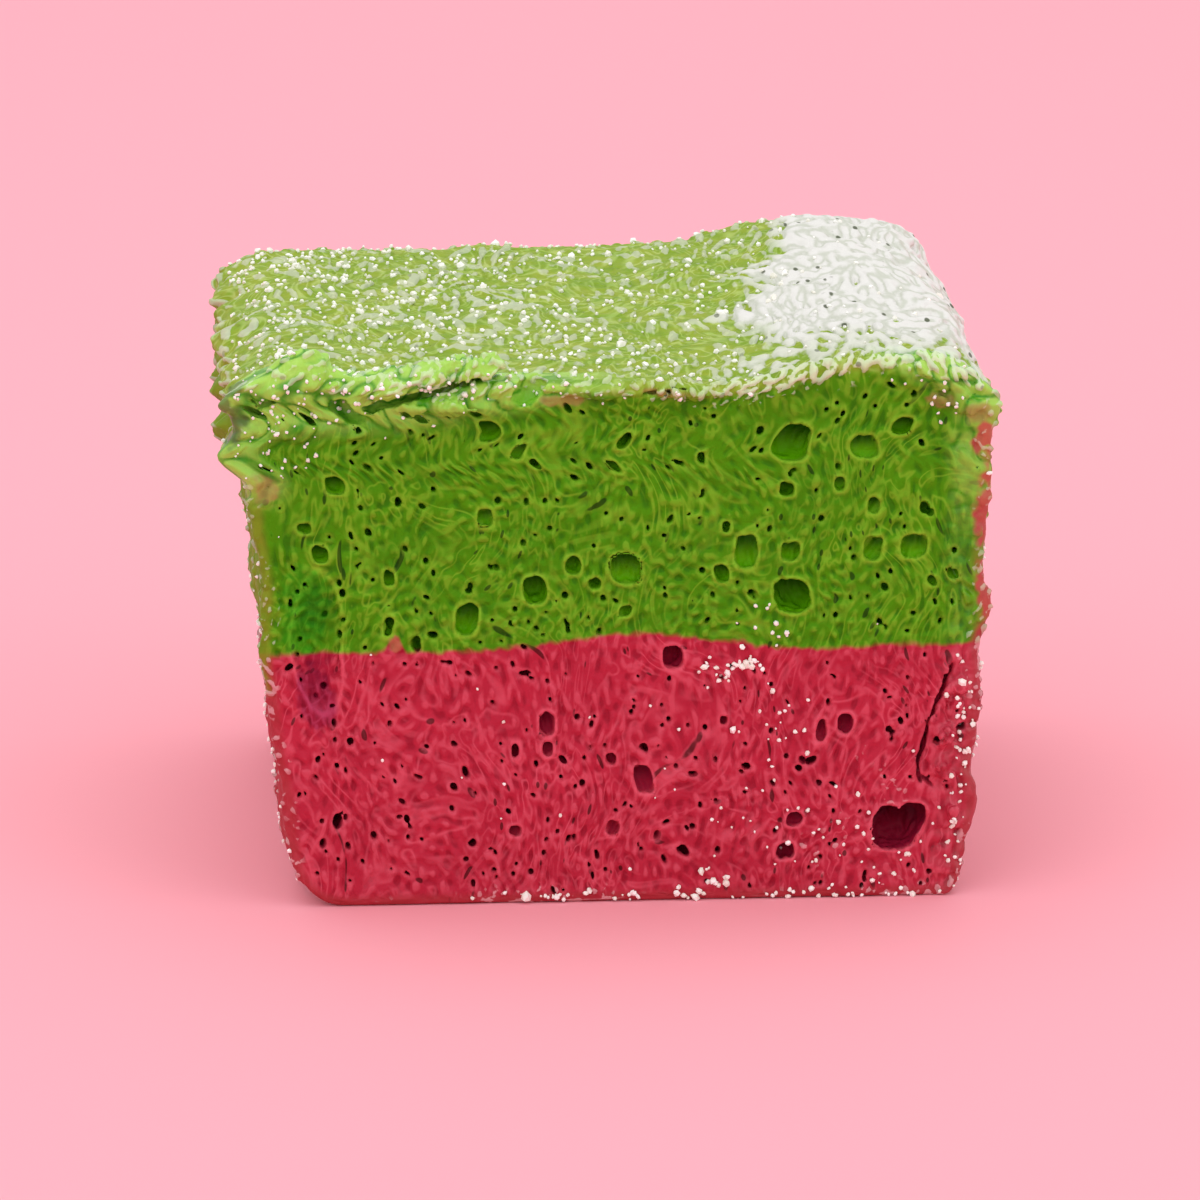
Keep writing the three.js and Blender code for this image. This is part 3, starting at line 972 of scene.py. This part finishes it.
POWDER_READS = ("Powder", "Ridges", "Over bare", "Facing")
powder_inputs = {"Place mm": PLACE} | {name: VALUE for name in POWDER_READS}
powder_outputs = {name: VALUE for name in ("Cover", "Crest", "Hole")}
powder_group, g, inner, outer = new_group("powder", powder_inputs, powder_outputs)
place = g.vector("MULTIPLY", i0=inner.outputs["Place mm"], i1=DRAWN_OUT)
amount = inner.outputs["Powder"]
ragged = g.wander(place, 3.2, 1.2)
broken = g.math("MULTIPLY", ragged, g.ramp(inner.outputs["Facing"], 0.0, 1.0, 1.0, 2.5))
covered = g.ramp(g.math("ADD", inner.outputs["Over bare"], broken), -0.2, 0.25)
opacity = g.ramp(amount, 0.3, 0.85, 0.4, 1.0)
cover = g.math("MULTIPLY", g.math("MULTIPLY", covered, opacity), g.ramp(amount, 0.03, 0.15))
ridge_level = g.math("ADD", inner.outputs["Ridges"], ragged)
off_groove = g.math("ABSOLUTE", g.math("SUBTRACT", ridge_level, GROOVE_LEVEL))
hole = g.math("MULTIPLY", g.spots(place, HOLES_PER_MM, HOLE_REACH, HOLE_CORE), 0.85)
g.feed(outer, Cover=cover, Crest=g.ramp(off_groove, 0.0, 1.1), Hole=g.math("MULTIPLY", hole, cover))
print("powder group:", len(powder_group.nodes), "nodes")

# %% [markdown]
# ## The two foams
# Each layer has its own material, but both use the same groups with the same colours, so that the
# border between them is one soft line although it runs across two meshes. The skin is paler and
# duller than the freshly cut foam, and moist where it is crumpled.

# %% The foam material
# Deep is random tone and painted shade in the weave's grooves; pale is the thin walls' own pale and
# painted sheen on fibres and weave crests; inside is painted shade in hollows; floor is painted light on
# a hollow's lower side.
FOAM_COLOURS = {
    "Green": srgb(76, 146, 0),
    "Green deep": srgb(36, 104, 0),
    "Green pale": srgb(136, 190, 44),
    "Green inside": srgb(26, 92, 0),
    "Green floor": srgb(100, 178, 0),
    "Red": srgb(184, 40, 64),
    "Red deep": srgb(138, 14, 38),
    "Red pale": srgb(222, 92, 112),
    "Red inside": srgb(100, 6, 36),
    "Red floor": srgb(156, 22, 56),
}
SKIN_GREEN = srgb(146, 166, 50)
SKIN_LINE = srgb(184, 202, 114)
SIDE_GREEN = srgb(126, 146, 34)
SKIN_RED = srgb(168, 52, 60)
# Torn skin: its own pale green, made brighter as painted light where it faces down, with painted shade
# in the creases of its folds.
TORN_GREEN_AND_LIGHT = srgb(166, 222, 84)
CREASE_SHADE_GREEN = srgb(40, 148, 0)
POWDER_CREST = srgb(224, 224, 219)
# Grey of the powder's grooves: painted shade.
POWDER_GROOVE_SHADE = srgb(199, 203, 190)
POWDER_ON_GREEN = srgb(224, 236, 204)
POWDER_ON_RED = srgb(250, 208, 212)
# Dark of the pinholes: painted shade.
PINHOLE_SHADE = srgb(58, 70, 34)
BROWN = srgb(170, 132, 84)
PINK = srgb(190, 44, 76)
# Painted shade on the outer flap at the upper left.
FLAP_SHADE = srgb(84, 104, 50)
WET_GREEN = (0.4, 0.9, 0.5, 1)
WET_RED = (0.6, 0.4, 0.75, 1)
MOIST_ROUGHNESS, POWDER_ROUGHNESS = 0.55, 0.9
BUMP_STRENGTH, BUMP_MM = 0.4, 0.05


def foam_material(name):
    """The finish of one layer, from the attributes and both groups."""
    material, g, surface = new_material(name)
    read = {
        key: g.add("ShaderNodeAttribute", {"attribute_name": key}).outputs["Fac"]
        for key in ("cut_face", "hollow", "down", "over_layer", "powder", "ridges", "over_bare", "rim",
                    "weave", "brown", "smear", "dull", "wet", "crumpled", "fold", "facing")
    }
    place = g.place_mm()

    def effect(group, names, **colours):
        """A group's outputs, with each named input read from the attribute of that name."""
        known = {name: read[name.lower().replace(" ", "_")] for name in names}
        inputs = {"Place mm": place, **known, **colours}
        return g.add("ShaderNodeGroup", {"node_tree": group}, **inputs).outputs

    foam = effect(foam_group, FOAM_READS, **FOAM_COLOURS)
    powder = effect(powder_group, POWDER_READS)
    # The skin and the cut face
    skin_green = g.ramp(g.math("ADD", read["over_layer"], g.wander(place, 0.25, 9.0)), -0.6, 0.6)
    upper = g.ramp(read["over_layer"], 10.5, 13.5)
    lined = g.blend(g.math("MULTIPLY", foam["Lines"], 0.7), SKIN_GREEN, SKIN_LINE)
    skin = g.blend(skin_green, SKIN_RED, g.blend(upper, SIDE_GREEN, lined))
    patchy = g.ramp(g.noise(place, 0.7, 2, 0.6), 0.3, 0.7)
    skin = g.blend(g.math("MULTIPLY", patchy, 0.4), skin, foam["Colour"])
    colour = g.blend(read["cut_face"], skin, foam["Colour"])
    # Painted shade in the creases between folds, and painted light on their tops.
    torn_colour_and_shade = g.blend(g.ramp(read["fold"], 0.0, 0.28), CREASE_SHADE_GREEN, TORN_GREEN_AND_LIGHT)
    torn = g.math("MULTIPLY", read["crumpled"], g.ramp(read["over_layer"], 5.0, 9.0, 0.0, 0.75))
    colour = g.blend(torn, colour, torn_colour_and_shade)
    # The marks, of which the flap mark is painted shade
    ragged = g.noise(place, 1.6)
    for mark, mark_colour, most in (("brown", BROWN, 0.55), ("smear", PINK, 0.8), ("dull", FLAP_SHADE, 0.8)):
        share = g.ramp(g.math("MULTIPLY", read[mark], ragged), 0.14, 0.34, 0.0, most)
        colour = g.blend(share, colour, mark_colour)
    share = g.ramp(g.math("MULTIPLY", read["wet"], ragged), 0.14, 0.3, 0.0, 0.85)
    on_green = g.ramp(read["over_layer"], -0.1, 0.1)
    colour = g.blend(share, colour, g.blend(on_green, WET_RED, WET_GREEN), "MULTIPLY")
    # The powder on all of it
    # Painted shade in the powder's grooves.
    white = g.blend(powder["Crest"], POWDER_GROOVE_SHADE, POWDER_CREST)
    white = g.blend(read["facing"], white, g.blend(on_green, POWDER_ON_RED, POWDER_ON_GREEN))
    colour = g.blend(powder["Cover"], colour, white)
    # Painted shade in the pinholes.
    colour = g.blend(powder["Hole"], colour, PINHOLE_SHADE)
    height = g.math("ADD", read["weave"], read["ridges"])
    bump = g.add("ShaderNodeBump", Strength=BUMP_STRENGTH, Distance=BUMP_MM * MM, Height=height)
    g.feed(surface, **{
        "Base Color": colour,
        "Roughness": g.ramp(powder["Cover"], 0.0, 1.0, MOIST_ROUGHNESS, POWDER_ROUGHNESS),
        "Normal": bump.outputs["Normal"],
        "Coat Weight": g.math("MULTIPLY", read["crumpled"], 0.5),
        "Coat Roughness": 0.25,
        "Specular IOR Level": 0.1,
    })
    return material


dressed = []
for name, mesh in layers.items():
    piece = put(name + "_cut", mesh)
    dressed.append(piece)
    mesh.polygons.foreach_set("use_smooth", [True] * len(mesh.polygons))
    mesh.materials.append(foam_material(name + "_finish"))
    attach(piece, "root")
    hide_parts(name)
print("layers dressed:", [piece.name for piece in dressed])

# %% [markdown]
# ## Loose grains
# Grains of sugar and clumps of powder fell on the block when it was dusted and cut. They are thickest
# along the lower and the right edge, in a small heap under the layers' border and on the torn skin,
# and the moist top holds many single ones. Each is a rough crystal of 20 faces, dropped onto the
# block from the front, a side, the back or above. All of them are joined in one piece.

# %% Where the grains fall
# On the cut face: middle, spread across and up, number, size, all but the number in mm
HEAPS = [
    (7.2, 12.7, 0.45, 0.25, 24, 0.27), (5.4, 12.3, 0.6, 0.6, 14, 0.26),
    (8.4, 10.4, 1.0, 1.3, 20, 0.23), (8.1, 14.8, 0.6, 0.6, 10, 0.22), (9.5, 3.4, 3.2, 1.4, 34, 0.2),
    (14.6, 1.8, 2.0, 0.9, 20, 0.2), (5.2, 1.1, 0.6, 0.4, 9, 0.28), (-2.9, 0.4, 0.6, 0.2, 8, 0.28),
    (8.0, 0.3, 6.5, 0.2, 50, 0.24), (18.1, 8.5, 0.35, 2.6, 40, 0.24),
    (17.6, 3.5, 0.4, 1.8, 20, 0.22), (0.0, 8.0, 9.0, 4.0, 26, 0.16),
    (-4.0, 27.4, 8.0, 0.5, 50, 0.2), (16.6, 26.6, 1.1, 0.6, 14, 0.22),
    (-16.6, 25.4, 1.2, 1.7, 60, 0.17), (-13, 27, 3, 0.8, 50, 0.17),
]
TOP_GRAINS, SIDE_GRAINS = 950, 600
TOP_SIZE, SIDE_SIZE = 0.24, 0.25
FAR, LOWEST = 60, 0.15
grain_random = np.random.default_rng(7)


def grain_starts():
    """The starting place, direction and size of each grain's fall, in mm."""
    draw = grain_random
    for x, z, spread_x, spread_z, count, size in HEAPS:
        for offset_x, offset_z in draw.normal(size=(count, 2)):
            start = (x + offset_x * spread_x, -FAR, max(z + offset_z * spread_z, LOWEST))
            yield start, (0, 1, 0), size
    for _ in range(TOP_GRAINS):
        x = -WIDTH / 2 + WIDTH * draw.beta(1, 2)
        yield (x, draw.uniform(-DEPTH / 2, DEPTH / 2), FAR), (0, 0, -1), TOP_SIZE
    for _ in range(SIDE_GRAINS):
        along, up = draw.uniform(-0.5, 0.5), HEIGHT * draw.beta(1, 1.6)
        side = draw.integers(3)
        if side == 2:
            yield (along * WIDTH, FAR, up), (0, -1, 0), SIDE_SIZE
        else:
            yield ((FAR, -FAR)[side], along * DEPTH, up), ((-1, 1)[side], 0, 0), SIDE_SIZE


print("heaps:", len(HEAPS), "with", sum(heap[4] for heap in HEAPS), "grains")

# %% Scatter the grains
SIZE_VARIETY, LIFT = 0.3, 0.2


def nearest_surface(start, way):
    """Where a straight line first meets one of the layers, with the normal there, or None."""
    hits = [piece.ray_cast(start, way) for piece in dressed]
    hits = [(place, normal) for found, place, normal, _ in hits if found]
    return min(hits, key=lambda hit: (hit[0] - start).length) if hits else None


def grain_points(crystal, place, normal, size):
    """A crystal's corners, stretched, roughened, turned at random and set on the surface."""
    draw = grain_random
    stretch = size * draw.lognormal(0, SIZE_VARIETY) * draw.uniform(0.7, 1.2, 3) / 2
    corners = crystal * draw.uniform(0.8, 1.2, (len(crystal), 1)) * stretch
    turn, _ = np.linalg.qr(draw.normal(size=(3, 3)))
    return corners @ turn + np.array(place) / MM + LIFT * size * np.array(normal)


bpy.context.view_layer.update()
seed_mesh = bmesh.new()
bmesh.ops.create_icosphere(seed_mesh, subdivisions=1, radius=1)
crystal = np.array([corner.co for corner in seed_mesh.verts])
crystal_faces = np.array([[corner.index for corner in face.verts] for face in seed_mesh.faces])
seed_mesh.free()
corners, faces = [], []
for start, way, size in grain_starts():
    hit = nearest_surface(Vector(start) * MM, Vector(way))
    if hit is not None:
        faces.append(crystal_faces + len(crystal) * len(corners))
        corners.append(grain_points(crystal, *hit, size))
grain_mesh = mesh_of("sugar_grains", np.concatenate(corners) * MM, np.concatenate(faces))
grains = put("sugar_grains", grain_mesh)

grain_material, g, surface = new_material("sugar_grain")
clear = g.ramp(g.noise(g.place_mm(), 1.5), 0.35, 0.65)
grain_colour = g.blend(clear, srgb(240, 238, 226), srgb(254, 254, 250))
g.feed(surface, **{"Base Color": grain_colour, "Roughness": 0.3})
grains.data.materials.append(grain_material)
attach(grains, "root")
print("grains:", len(corners), "with", len(grains.data.polygons), "faces")

# %% [markdown]
# ## The floor
# The photograph's surface is plain, pale pink and matt.

# %% Floor
FLOOR_SIZE, FLOOR_PLACE = 6.0, (0, 1, 0)
FLOOR_PINK = srgb(254, 170, 184)
bpy.ops.mesh.primitive_plane_add(size=FLOOR_SIZE, location=FLOOR_PLACE)
floor = bpy.context.object
floor.name = "floor"
floor_material, g, surface = new_material("floor")
g.feed(surface, **{"Base Color": FLOOR_PINK, "Roughness": 0.8, "Specular IOR Level": 0.2})
floor.data.materials.append(floor_material)
floor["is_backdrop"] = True
print("floor:", FLOOR_SIZE, "m wide")

# %% Keep the boxes for the size rule and finish
visual_box = [[float(value) for value in corner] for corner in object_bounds()]
print("visual box in mm:", [[round(value / MM, 2) for value in corner] for corner in visual_box])
